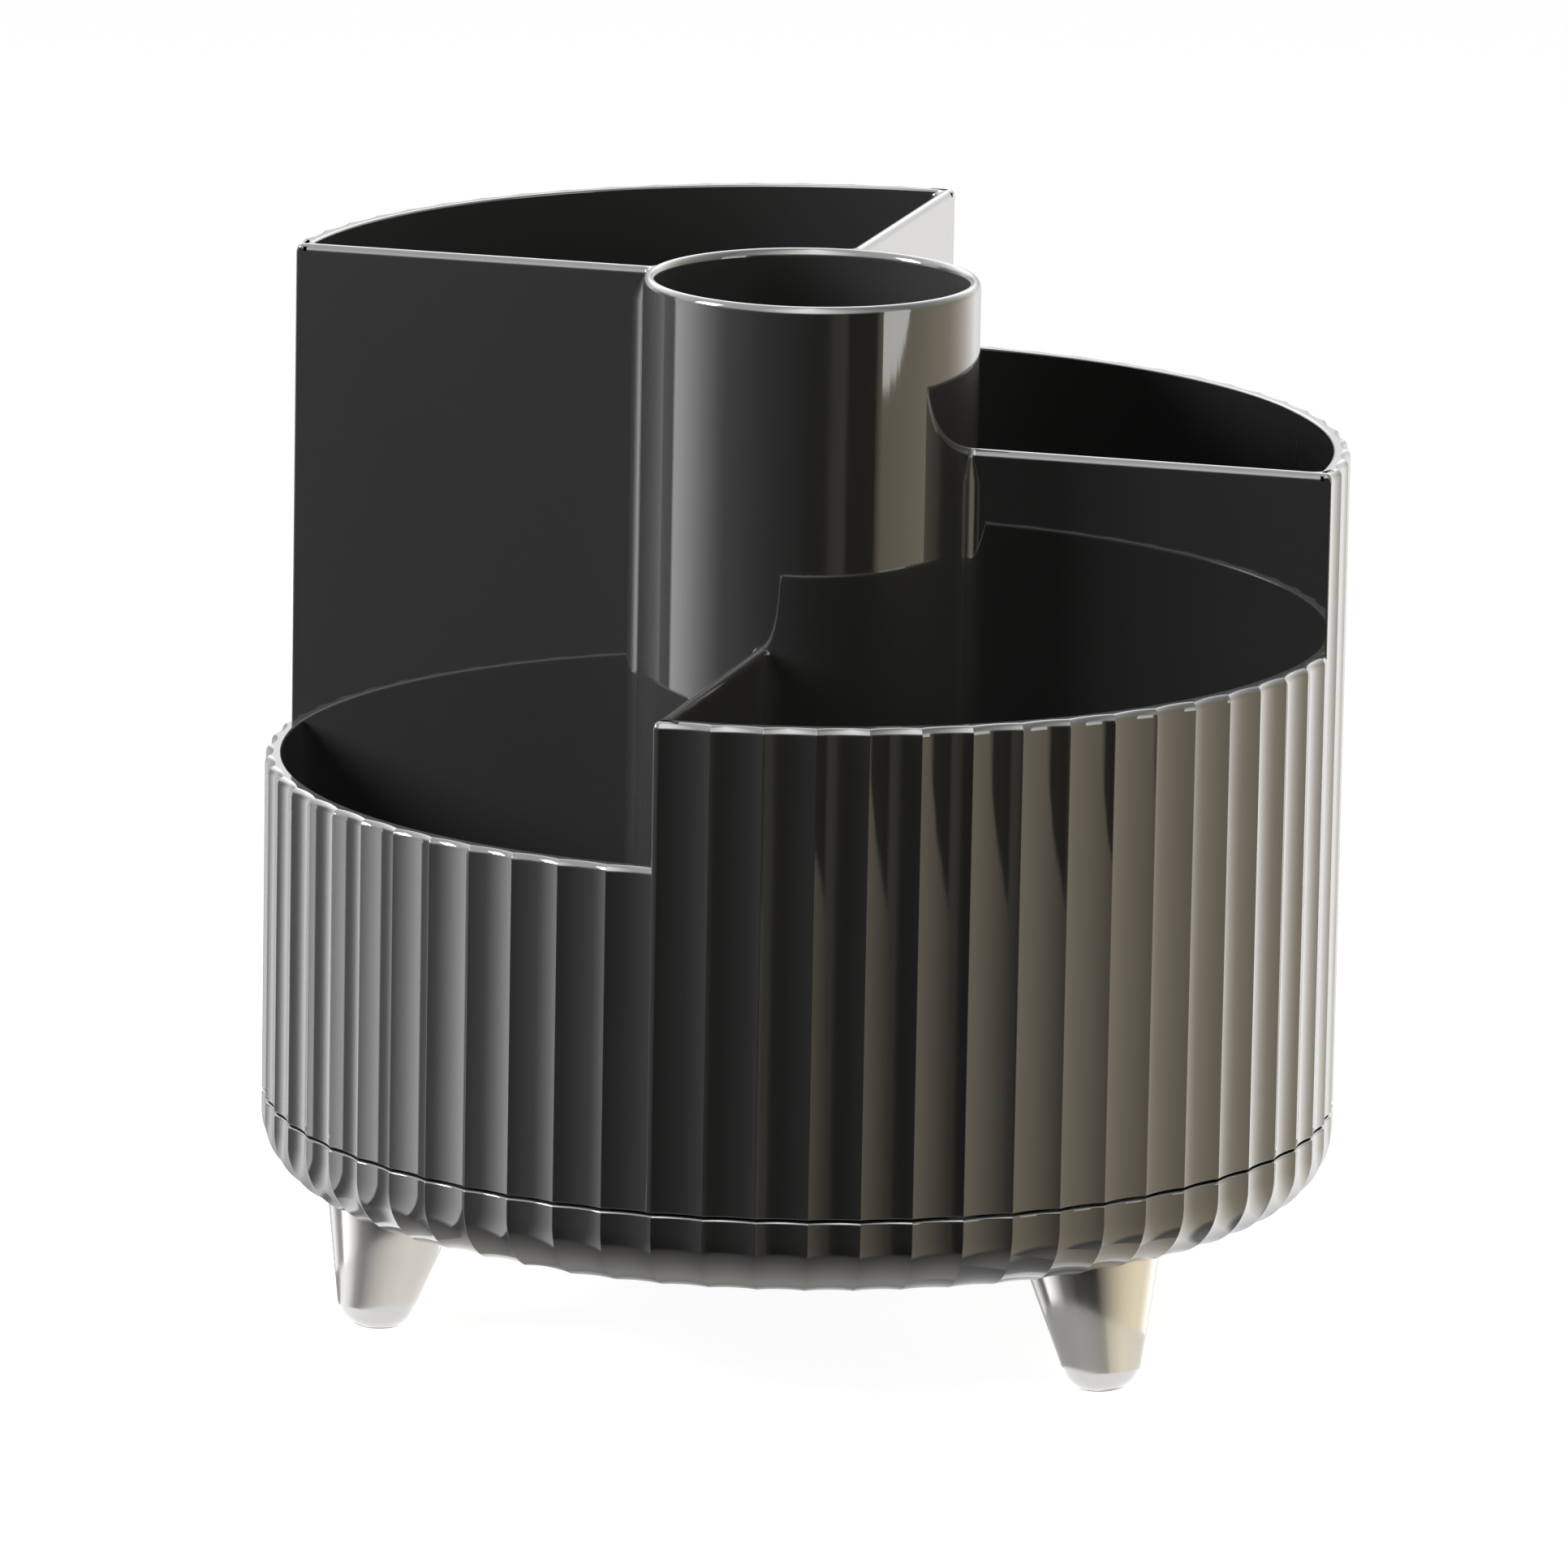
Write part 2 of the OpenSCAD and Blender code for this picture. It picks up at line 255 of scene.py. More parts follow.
def outline(theta):
    """Radius of the fluted face, and how far its normal turns from the radius, at an angle."""
    theta = np.asarray(theta, float)
    local = np.mod(theta - PITCH / 2 - FLUTE_TURN[0], PITCH) + FLUTE_TURN[0]
    radii = np.interp(local, FLUTE_TURN, FLUTE_RADII)
    tilt = np.interp(local, FLUTE_TURN, FLUTE_TILT)
    return radii, tilt


def columns(a, b):
    """Angles along the outline from a to b, close together on the crests."""
    half = PITCH / 2
    crest = CREST_HALF_TURN
    local = np.concatenate(
        [
            np.linspace(-half + crest / 4, -half + crest, CREST_COLUMNS),
            np.linspace(-half + crest, half - crest, FLUTE_COLUMNS)[1:-1],
            np.linspace(half - crest, half, CREST_COLUMNS + 1),
        ]
    )
    out = []
    for i in range(-1, FLUTES + 1):
        out.extend((i + 0.5) * PITCH + local)
    out = np.array(out)
    keep = out[(out > a + MERGE_TURN) & (out < b - MERGE_TURN)]
    return np.concatenate([[a], keep, [b]])


def wall_rows(theta, top):
    """Rows of a wall's section from the seam up, over the rim and down inside.

    Returns radius, level, and the normal's parts along the outline's normal, inward and up.
    """
    r_out, tilt = outline(theta)
    one = np.ones_like(r_out)
    rows = []

    def row(radius, level, along, inward, up):
        rows.append((radius * one, level * one, along * one, inward * one, up * one))

    for f in np.linspace(-QUARTER, 0, SEAM_ROWS):
        radius = r_out - SEAM_BEVEL * (1 - math.cos(f))
        level = SKIRT_Z + SEAM_BEVEL * (1 + math.sin(f))
        row(radius, level, math.cos(f), 0.0, math.sin(f))
    for level in (FLOOR_Z, PLAIN_Z, top - RIM_EDGE_R * RIM_RISE - RIM_GAP_OUT):
        row(r_out, level, 1.0, 0.0, 0.0)
    for f in np.linspace(0, QUARTER, OUTER_ROWS):
        radius = r_out - RIM_EDGE_R * (1 - math.cos(f))
        level = top - RIM_EDGE_R * RIM_RISE * (1 - math.sin(f))
        row(radius, level, math.cos(f), 0.0, math.sin(f) / RIM_RISE)
    for f in np.linspace(0, QUARTER, INNER_ROWS):
        radius = INNER_R + RIM_IN_R - RIM_IN_R * math.sin(f)
        level = top - RIM_IN_R + RIM_IN_R * math.cos(f)
        row(radius, level, 0.0, math.sin(f), math.cos(f))
    for level in (top - RIM_IN_R - RIM_GAP, FLOOR_TOP, SKIRT_Z):
        row(INNER_R, level, 0.0, 1.0, 0.0)
    return np.array(rows), tilt


def wall_points(theta, top):
    rows, tilt = wall_rows(theta, top)
    radius, level, along, inward, up = (rows[:, i] for i in range(5))
    xy = az(theta[None, :], radius)
    face = az(theta + tilt)[None, :, :] * along[:, :, None]
    centre = -az(theta)[None, :, :] * inward[:, :, None]
    points = np.concatenate([xy, level[:, :, None]], axis=2)
    normals = np.concatenate([face + centre, up[:, :, None]], axis=2)
    return points, normals


def end_round(row):
    """Radius of the rounded end of a wall at one row of its section."""
    if row < SEAM_ROWS:
        return SEAM_END_R
    if row < FIRST_OUTER:
        return EDGE_R
    if row < FIRST_OUTER + OUTER_ROWS:
        share = (row - FIRST_OUTER) / (OUTER_ROWS - 1)
        return EDGE_R + (END_ROUND - EDGE_R) * share
    return END_ROUND


def wall_end(shell, column, column_normals, edge, sign):
    """Rounds and caps the free end of a wall, and returns the column where the round starts."""
    radial = np.append(az(edge), 0.0)
    side = np.append(az(edge + QUARTER), 0.0) * sign
    rounds = []
    tilts = []
    for f in np.linspace(0, QUARTER, END_STEPS):
        ring = []
        lean = []
        for i, (point, normal) in enumerate(zip(column, column_normals)):
            size = end_round(i)
            v = END_REACH - size
            radius = np.linalg.norm(point[:2])
            u = math.sqrt(radius * radius - v * v)
            flat = normal - side * (normal @ side)
            flat = flat / np.linalg.norm(flat)
            p = radial * u + np.array([0, 0, point[2]])
            p = p + side * (v + size * math.sin(f)) - flat * size * (1 - math.cos(f))
            ring.append(p)
            lean.append(flat * math.cos(f) + side * math.sin(f))
        rounds.append(ring)
        tilts.append(lean)
    points = np.array(rounds).transpose(1, 0, 2)
    normals = np.array(tilts).transpose(1, 0, 2)
    add(shell, points, normals, close_rows=True)
    cap = points[:, -1]
    # The cap's outline crosses itself at the seam, so its whole area tells which way it faces
    area = np.cross(cap - cap[0], np.roll(cap, -1, axis=0) - cap[0]).sum(axis=0)
    shell.fan(cap, side, centre=cap[4] * 0.5 + cap[-2] * 0.5, flip=area @ side < 0)
    return points[:, 0]


def wall_section(shell, start, end, top, low_start, low_end):
    """One quarter of the wall. low_start and low_end say at which ends its neighbour is lower."""
    inset = (END_REACH - EDGE_R) / BODY_R
    first = start - inset if low_start else start + inset
    last = end + inset if low_end else end - inset
    inner_first = start if low_start else first + END_SET
    inner_last = end if low_end else last - END_SET
    theta = columns(inner_first, inner_last)
    theta = theta[(theta > first + MERGE_TURN) & (theta < last - MERGE_TURN)]
    theta = np.concatenate([[first], theta, [last]])
    points, normals = wall_points(theta, top)
    for lower, edge, sign, col in ((low_start, start, -1.0, 0), (low_end, end, 1.0, -1)):
        if lower:
            points[:, col] = wall_end(shell, points[:, col], normals[:, col], edge, sign)
    add(shell, points, normals, close_rows=True)


def divider_side(flare, root_r):
    """Plan of one side of a divider, from inside the tube out to the middle of the wall."""
    points = []
    centre_v = HALF_T + root_r
    centre_u = math.sqrt((TUBE_R + root_r) ** 2 - centre_v**2)
    start = math.atan2(centre_v, centre_u)
    inside = (TUBE_R + TUBE_IN_R) / 2
    p = (inside * math.cos(start), inside * math.sin(start))
    points.append((p, (-math.sin(start), math.cos(start))))
    for t in np.linspace(0, QUARTER - start, 13):
        a = math.pi + start + t
        n = (-math.cos(a), -math.sin(a))
        p = (centre_u - root_r * n[0], centre_v - root_r * n[1])
        points.append((p, n))
    end_u = INNER_R - CORNER_R if flare else DIVIDER_END_R
    for u in np.linspace(points[-1][0][0], end_u, 8)[1:]:
        points.append(((u, HALF_T), (0.0, 1.0)))
    if flare:
        for t in np.linspace(0, QUARTER, 10)[1:]:
            n = (-math.sin(t), math.cos(t))
            p = (end_u - CORNER_R * n[0], HALF_T + CORNER_R - CORNER_R * n[1])
            points.append((p, n))
        points.append(((RIM_MID_R, HALF_T + CORNER_R), (-1.0, 0.0)))
    return points


def divider(shell, angle, top, high_side):
    """A divider at an angle. high_side is +1 where the higher section follows it, else -1."""
    radial = az(angle)
    side = az(angle + QUARTER) * high_side
    rise = HALF_T * RIM_RISE
    low = top - rise
    # Each row: turn over the rim, level where it is upright, fillet at the root
    rows = [(0.0, SUNK_Z, ROOT_R), (0.0, low - ROOT_FADE, ROOT_R), (0.0, low, ROOT_TOP_R)]
    rows += [(f, None, ROOT_TOP_R) for f in np.linspace(0, QUARTER, 9)[1:]]
    for flare, sign in ((True, 1.0), (False, -1.0)):
        rings = []
        leans = []
        for f, level, root_r in rows:
            inset = DIVIDER_ROUND * (1 - math.cos(f)) if level is None else 0.0
            z = level if level is not None else top - rise + rise * math.sin(f)
            ring = []
            lean = []
            for (u, v), (nu, nv) in divider_side(flare, root_r):
                xy = radial * (u - nu * inset) + side * ((v - nv * inset) * sign)
                flat = radial * nu + side * nv * sign
                ring.append([xy[0], xy[1], z])
                lean.append([flat[0] * math.cos(f), flat[1] * math.cos(f), math.sin(f) / RIM_RISE])
            rings.append(ring)
            leans.append(lean)
        points = np.array(rings)
        add(shell, points, np.array(leans))
        edge = points[-1]
        along = np.clip(edge[:, :2] @ radial, 0, DIVIDER_END_R)
        spine = np.column_stack([radial[0] * along, radial[1] * along, edge[:, 2]])
        add(shell, np.stack([edge, spine]), np.tile([0.0, 0.0, 1.0], (2, len(edge), 1)))


def revolve(shell, rows, segments=192):
    """Rows of radius, level, outward part and upward part of the normal, turned about Z."""
    ring = az(np.linspace(0, TAU, segments, endpoint=False))
    points = np.array([[[x * r, y * r, z] for x, y in ring] for r, z, _, _ in rows])
    normals = np.array([[[x * n, y * n, m] for x, y in ring] for _, _, n, m in rows])
    add(shell, points, normals, close_cols=True)


def centre_tube(shell):
    mid = (TUBE_R + TUBE_IN_R) / 2
    half = (TUBE_R - TUBE_IN_R) / 2
    rise = half * RIM_RISE
    rows = [(TUBE_R, SUNK_Z, 1, 0), (TUBE_R, TALL_H - rise - RIM_GAP, 1, 0)]
    for f in np.linspace(0, math.pi, 19):
        out = math.cos(f)
        up = math.sin(f)
        rows.append((mid + half * out, TALL_H - rise + rise * up, out, up / RIM_RISE))
    rows.append((TUBE_IN_R, TALL_H - rise - RIM_GAP, -1, 0))
    rows.append((TUBE_IN_R, SUNK_Z, -1, 0))
    revolve(shell, rows)


def organizer():
    """The body in one piece: wall quarters, dividers, tube and floor."""
    shell = Shell()
    wall_section(shell, 0.0, QUARTER, LOW_H, True, False)
    wall_section(shell, QUARTER, 2 * QUARTER, MID_H, True, False)
    wall_section(shell, 2 * QUARTER, 3 * QUARTER, TALL_H, True, True)
    wall_section(shell, 3 * QUARTER, 4 * QUARTER, LOWEST_H, False, False)
    divider(shell, 0.0, LOW_H, 1.0)
    divider(shell, QUARTER, MID_H, 1.0)
    divider(shell, 2 * QUARTER, TALL_H, 1.0)
    divider(shell, 3 * QUARTER, TALL_H, -1.0)
    centre_tube(shell)
    revolve(shell, [(TINY_R, FLOOR_TOP, 0, 1), (FLOOR_EDGE_R, FLOOR_TOP, 0, 1)])
    revolve(shell, [(TINY_R, FLOOR_Z, 0, -1), (FLOOR_EDGE_R, FLOOR_Z, 0, -1)])
    return shell.build("organizer_body")


def base_ring():
    """The base: a shallow dish whose flutes fade out round its bottom edge."""
    shell = Shell()
    theta = columns(0.0, TAU)[:-1]
    r_out, tilt = outline(theta)
    groove = BODY_R - r_out
    radial = az(theta)
    one = np.ones(len(theta))
    rings = []
    leans = []

    def ring(radius, level, face, up, lean=1.0):
        rings.append(np.column_stack([radial * radius[:, None], level * one]))
        leans.append(np.column_stack([az(theta + tilt * lean) * face, up * one]))

    ring(one * BASE_INNER_R, SEAM_Z, 0.0, 1.0)
    for f in np.linspace(QUARTER, 0, 7):
        radius = r_out - BASE_BEVEL * (1 - math.cos(f))
        ring(radius, SEAM_Z - BASE_BEVEL * (1 - math.sin(f)), math.cos(f), math.sin(f))
    corner_z = BASE_Z + BASE_CORNER_R
    corner_r = BODY_R - BASE_CORNER_R
    ring(r_out, corner_z + CORNER_GAP, 1.0, 0.0)
    for f in np.linspace(0, QUARTER, 25):
        keep = math.cos(f) ** FLUTE_FADE if f < QUARTER - 1e-6 else 0.0
        reach = BASE_CORNER_R - groove * keep
        radius = corner_r + reach * math.cos(f)
        ring(radius, corner_z - reach * math.sin(f), math.cos(f), -math.sin(f), keep)
    ring(one * BASE_DISC_R, BASE_Z, 0.0, -1.0, 0.0)
    points = np.array(rings)
    add(shell, points, np.array(leans), close_cols=True)
    shell.fan(points[-1], [0, 0, -1], flip=outward_fan(points[-1]))
    inner = [
        (BASE_INNER_R, SEAM_Z, -1, 0),
        (BASE_INNER_R, corner_z, -1, 0),
        (corner_r, BASE_Z + BASE_T, 0, 1),
        (TINY_R, BASE_Z + BASE_T, 0, 1),
    ]
    revolve(shell, inner)
    return shell.build("base_shell")


def foot(name, angle):
    """One splayed conical foot with a round tip, flat where it stands."""
    shell = Shell()
    slope = FOOT_ROUND_R * (1 - math.sin(FOOT_FLARE)) / math.cos(FOOT_FLARE)
    tan_x = FOOT_TIP_R + slope * math.sin(FOOT_FLARE)
    tan_y = slope * math.cos(FOOT_FLARE)
    round_x = tan_x - FOOT_ROUND_R * math.cos(FOOT_FLARE)
    sink = round_x * math.sin(FOOT_SPLAY) + FOOT_FLAT_CUT
    # Rows along the foot's own axis: radius, height, outward and upward parts of the normal
    rows = [(TINY_R, 0.0, 0.0, -1.0), (round_x, 0.0, 0.0, -1.0)]
    for f in np.linspace(-QUARTER, -FOOT_FLARE, 20)[1:]:
        radius = round_x + FOOT_ROUND_R * math.cos(f)
        height = FOOT_ROUND_R + FOOT_ROUND_R * math.sin(f)
        rows.append((radius, height, math.cos(f), math.sin(f)))
    top_r = tan_x + (FOOT_LENGTH - tan_y) * math.tan(FOOT_FLARE)
    rows.append((top_r, FOOT_LENGTH, math.cos(FOOT_FLARE), -math.sin(FOOT_FLARE)))
    t = np.linspace(0, TAU, 128, endpoint=False)
    a = math.radians(angle)
    out = np.append(az(a), 0.0)
    side = np.append(az(a + QUARTER), 0.0)
    up = np.array([0, 0, 1])
    axis = -out * math.sin(FOOT_SPLAY) + up * math.cos(FOOT_SPLAY)
    across = out * math.cos(FOOT_SPLAY) + up * math.sin(FOOT_SPLAY)
    circle = across[None, :] * np.cos(t)[:, None] + side[None, :] * np.sin(t)[:, None]
    origin = out * FOOT_TIP_AT - up * sink
    points = np.array([origin + axis * h + circle * r for r, h, _, _ in rows])
    normals = np.array([circle * n + axis * m for _, _, n, m in rows])
    below = points[:, :, 2] < 0
    points[below, 2] = 0.0
    normals[below] = [0, 0, -1]
    lift = (points[-1, :, 2] - FOOT_TOP_Z) / (points[-1, :, 2] - points[-2, :, 2])
    points[-1] = points[-1] - (points[-1] - points[-2]) * lift[:, None]
    add(shell, points, normals, close_cols=True)
    shell.fan(points[-1], [0, 0, 1], flip=not outward_fan(points[-1]))
    return shell.build(name)


def bare_material(name):
    """A material with nothing but its output node."""
    mat = bpy.data.materials.new(name)
    mat.use_nodes = True
    tree = mat.node_tree
    tree.nodes.clear()
    return mat, tree, tree.nodes.new("ShaderNodeOutputMaterial")


def principled(name):
    mat, tree, out = bare_material(name)
    bsdf = tree.nodes.new("ShaderNodeBsdfPrincipled")
    tree.links.new(bsdf.outputs["BSDF"], out.inputs["Surface"])
    return mat, tree, bsdf


def noise(tree, scale, detail, stretch=(1, 1, 1)):
    coord = tree.nodes.new("ShaderNodeTexCoord").outputs["Object"]
    mapping = tree.nodes.new("ShaderNodeMapping")
    mapping.inputs["Scale"].default_value = stretch
    tree.links.new(coord, mapping.inputs["Vector"])
    texture = tree.nodes.new("ShaderNodeTexNoise")
    texture.inputs["Scale"].default_value = scale
    texture.inputs["Detail"].default_value = detail
    tree.links.new(mapping.outputs["Vector"], texture.inputs["Vector"])
    return texture.outputs["Fac"]


def ramp(tree, value, stops):
    node = tree.nodes.new("ShaderNodeValToRGB")
    for element, (place, colour) in zip(node.color_ramp.elements, stops):
        element.position = place
        element.color = (*colour, 1.0)
    tree.links.new(value, node.inputs["Fac"])
    return node.outputs["Color"]


def spread(tree, value, low, high):
    node = tree.nodes.new("ShaderNodeMapRange")
    node.inputs["To Min"].default_value = low
    node.inputs["To Max"].default_value = high
    tree.links.new(value, node.inputs["Value"])
    return node.outputs["Result"]


def bump(tree, value, strength, distance):
    node = tree.nodes.new("ShaderNodeBump")
    node.inputs["Strength"].default_value = strength
    node.inputs["Distance"].default_value = distance
    tree.links.new(value, node.inputs["Height"])
    return node.outputs["Normal"]


BLACK_DEEP = (0.0362, 0.0362, 0.0361)
BLACK_PALE = (0.0422, 0.0422, 0.0420)
CAGE_DEEP = (0.66, 0.65, 0.60)
CAGE_PALE = (0.76, 0.75, 0.70)


def gloss_plastic():
    """Deep black moulded plastic: faint flow in the colour under a clear, slightly uneven gloss."""
    mat, tree, bsdf = principled("body_black")
    flow = noise(tree, 18.0, 4.0, stretch=(1, 1, 0.35))
    colour = ramp(tree, flow, [(0.25, BLACK_DEEP), (0.75, BLACK_PALE)])
    tree.links.new(colour, bsdf.inputs["Base Color"])
    fine = noise(tree, 900.0, 2.0)
    tree.links.new(spread(tree, fine, 0.30, 0.42), bsdf.inputs["Roughness"])
    wave = noise(tree, 55.0, 2.0)
    tree.links.new(bump(tree, wave, 0.10, 0.00004), bsdf.inputs["Coat Normal"])
    tree.links.new(bump(tree, fine, 0.15, 0.00002), bsdf.inputs["Normal"])
    bsdf.inputs["Specular IOR Level"].default_value = 0.02
    bsdf.inputs["Coat Weight"].default_value = 1.0
    bsdf.inputs["Coat Roughness"].default_value = 0.018
    bsdf.inputs["Coat IOR"].default_value = 1.52
    return mat


def metal(name, colour, rough, grain, metallic=1.0):
    """Plated or turned metal: uneven polish and a faint unevenness of the surface under it."""
    mat, tree, bsdf = principled(name)
    cloud = noise(tree, 60.0, 3.0)
    low = tuple(c * 0.94 for c in colour)
    tree.links.new(ramp(tree, cloud, [(0.3, low), (0.7, colour)]), bsdf.inputs["Base Color"])
    fine = noise(tree, 700.0, 2.0, stretch=grain)
    tree.links.new(spread(tree, fine, rough * 0.7, rough * 1.3), bsdf.inputs["Roughness"])
    tree.links.new(bump(tree, cloud, 0.12, 0.00004), bsdf.inputs["Normal"])
    bsdf.inputs["Metallic"].default_value = metallic
    return mat


def cage_plastic():
    mat, tree, bsdf = principled("cage_plastic")
    cloud = noise(tree, 120.0, 4.0)
    colour = ramp(tree, cloud, [(0.3, CAGE_DEEP), (0.7, CAGE_PALE)])
    tree.links.new(colour, bsdf.inputs["Base Color"])
    tree.links.new(spread(tree, cloud, 0.42, 0.58), bsdf.inputs["Roughness"])
    fine = noise(tree, 900.0, 2.0)
    tree.links.new(bump(tree, fine, 0.3, 0.00003), bsdf.inputs["Normal"])
    return mat


black = gloss_plastic()
foot_metal = metal("foot_chrome", (0.49, 0.48, 0.465), 0.15, (1, 1, 1), 0.58)
ring_metal = metal("ring_aluminium", (0.72, 0.73, 0.74), 0.30, (1, 1, 14))
screw_metal = metal("screw_steel", (0.55, 0.56, 0.58), 0.28, (1, 1, 6))
ball_metal = metal("ball_steel", (0.76, 0.77, 0.78), 0.06, (1, 1, 1))
brass = metal("insert_brass", (0.72, 0.55, 0.27), 0.25, (1, 1, 9))
cage = cage_plastic()

NODE_MATERIALS = {
    "outer_bearing_ring": ring_metal,
    "inner_bearing_ring": ring_metal,
    "body_screws": screw_metal,
    "base_screws": screw_metal,
    "foot_screws": screw_metal,
    "foot_washers": screw_metal,
    "bearing_balls": ball_metal,
    "foot_inserts": brass,
    "ball_cage": cage,
    "front_left_foot": foot_metal,
    "front_right_foot": foot_metal,
    "rear_foot": foot_metal,
}
for node_name, obj in nodes.items():
    obj.data.materials.clear()
    obj.data.materials.append(NODE_MATERIALS.get(node_name, black))

body = organizer()
body.data.materials.append(black)
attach(body, "rotor")
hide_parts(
    "center_tube",
    "front_divider",
    "right_divider",
    "rear_divider",
    "left_divider",
    "tall_wall",
    "mid_wall",
    "low_wall",
    "lowest_wall",
    "body_floor",
)

base = base_ring()
base.data.materials.append(black)
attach(base, "base")
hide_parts("base_dish")

for node_name, angle in zip(("front_left_foot", "front_right_foot", "rear_foot"), FOOT_ANGLES):
    piece = foot("polished_" + node_name, angle)
    piece.data.materials.append(foot_metal)
    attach(piece, "base")
    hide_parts(node_name)

# Stage: a white floor, and glowing sheets that only gloss sees
FLOOR_GLOW = 0.93
FLOOR_SHOWN = 0.5
FLOOR_BOUNCE = 0.15
FLOOR_SIDE = 30.0
GLOBE_R = 20.0
AIM_Z = 0.08
CAMERA_AZ = math.radians(15.06)

# What the gloss sees round the object: angle, brightness, warmth
PANELS = (
    (-180, 0.6, 0.0),
    (-165, 0.6, 0.0),
    (-155, 0.95, 0.0),
    (-144, 2.0, 0.0),
    (-134, 1.5, 0.0),
    (-126, 0.7, 0.0),
    (-118, 0.3, 0.0),
    (-108, 0.22, 0.0),
    (-105, 3.5, 0.0),
    (-98, 3.4, 0.0),
    (-88, 2.8, 0.0),
    (-80, 2.0, 0.0),
    (-72, 1.3, 0.0),
    (-66, 0.75, 0.0),
    (-60, 0.38, 0.0),
    (-45, 0.22, 0.0),
    (-30, 0.08, 0.0),
    (-15, 0.06, 0.1),
    (0, 0.02, 0.3),
    (9, 0.05, 0.6),
    (12, 0.13, 0.8),
    (16, 0.36, 0.8),
    (22, 0.45, 0.8),
    (24, 0.38, 0.8),
    (27, 0.06, 0.9),
    (45, 0.06, 1.0),
    (48, 0.90, 1.0),
    (51, 1.50, 1.0),
    (72, 1.75, 1.0),
    (90, 1.92, 1.0),
    (108, 1.85, 0.9),
    (120, 2.2, 0.6),
    (134, 2.6, 0.3),
    (148, 2.5, 0.1),
    (158, 1.6, 0.0),
    (168, 1.0, 0.0),
    (180, 0.7, 0.0),
)
# Below the slanting lower edge of the dark panel on the right the gloss sees this instead
DARK_SPAN = (22, 60)
DARK_EDGE = ((22, -13.05), (27, -12.94), (40, -12.68), (51, -12.30))
FRONT_RIGHT = ((22, 0.50), (30, 0.76), (42, 1.14), (51, 1.38), (60, 1.58))
# A window on the right: span, top, brightness, warmth, and its lower edge with a round corner
WINDOW_SPAN = (50.4, 71)
WINDOW_TOP = 40
WINDOW_LIGHT = 7.8
WINDOW_WARMTH = 0.2
WINDOW_EDGE = ((50.4, -10.72), (55, -10.71), (60, -10.66), (65, -10.58), (68, -10.49), (71, -10.37))
# The white ground by the angle below the horizon, and where the panels blend into it
GROUND = ((41, 0.35), (50, 0.75), (59, 1.10), (68, 1.45), (76, 1.70), (90, 1.85))
GROUND_WARMTH = 0.2
GROUND_BLEND = (40, 47)
# The light from above by the angle round, and where the panels blend into it
TOP_LIGHT = (
    (-180, 6.0),
    (-110, 5.0),
    (-40, 6.0),
    (-8, 14.5),
    (0, 14.0),
    (25, 7.5),
    (45, 4.2),
    (75, 2.2),
    (120, 3.0),
    (180, 6.0),
)
TOP_BLEND = (6, 26)
# The lamp on the left as the gloss sees it: angle, height, half width, half height, brightness
LAMP_SPOT = (-80.0, 27.0, 9.0, 11.0, 80.0)
# Painted reflection for a foot's polished sides, on a glowing sheet round it in place of the ground:
# angle, brightness, warmth
LEFT_FOOT_REFLECTION = (
    (-180, 1.0, 0.0),
    (-150, 0.5, 0.0),
    (-135, 0.3, 0.0),
    (-120, 0.4, 0.0),
    (-108, 2.0, 0.0),
    (-90, 2.3, 0.0),
    (-72, 1.7, 0.0),
    (-56, 0.55, 0.0),
    (-40, 0.35, 0.0),
    (-24, 0.8, 0.1),
    (-10, 1.2, 0.2),
    (17, 1.75, 0.2),
    (46, 2.0, 0.2),
    (105, 1.9, 0.2),
    (180, 1.0, 0.0),
)
RIGHT_FOOT_REFLECTION = (
    (-180, 0.9, 0.0),
    (-108, 0.82, 0.0),
    (-40, 0.98, 0.0),
    (-20, 0.92, 0.0),
    (3, 0.80, 0.2),
    (12, 0.85, 0.5),
    (20, 1.4, 0.7),
    (50, 1.9, 0.7),
    (98, 1.75, 0.5),
    (180, 1.0, 0.0),
)
# Rings of the sheet round a foot, in millimetres. Those under its tip are brighter, a painted
# highlight on the foot's tip
FOOT_SHEET_RINGS = (3.0, 9.3, 9.9, 26.0)
TIP_RING = 9.6
TIP_PAINTED_HIGHLIGHT = 2.15
FOOT_SHEET_LIFT = 0.3
NEUTRAL = (1.0, 1.0, 1.0)
WARM = (1.17, 1.04, 0.77)


def stage_mesh(name, points, faces):
    mesh = bpy.data.meshes.new(name)
    mesh.from_pydata(points, [], faces)
    obj = bpy.data.objects.new(name, mesh)
    bpy.context.scene.collection.objects.link(obj)
    return obj


def seen_rays(tree):
    """1 for the rays that show the background: from the camera, off metal and through glass."""
    path = tree.nodes.new("ShaderNodeLightPath")
    value = path.outputs["Is Camera Ray"]
    for kind in ("Is Glossy Ray", "Is Transmission Ray"):
        most = tree.nodes.new("ShaderNodeMath")
        most.operation = "MAXIMUM"
        tree.links.new(value, most.inputs[0])
        tree.links.new(path.outputs[kind], most.inputs[1])
        value = most.outputs[0]
    return value


def floor_material():
    """White where it is seen, with the object's shadow, and pale enough to throw little light back."""
    mat, tree, out = bare_material("floor_white")
    diffuse = tree.nodes.new("ShaderNodeBsdfDiffuse")
    glow = tree.nodes.new("ShaderNodeEmission")
    seen = seen_rays(tree)
    tree.links.new(spread(tree, seen, FLOOR_BOUNCE, FLOOR_SHOWN), diffuse.inputs["Color"])
    tree.links.new(spread(tree, seen, 0.0, FLOOR_GLOW), glow.inputs["Strength"])
    total = tree.nodes.new("ShaderNodeAddShader")
    tree.links.new(diffuse.outputs[0], total.inputs[0])
    tree.links.new(glow.outputs[0], total.inputs[1])
    tree.links.new(total.outputs[0], out.inputs["Surface"])
    return mat


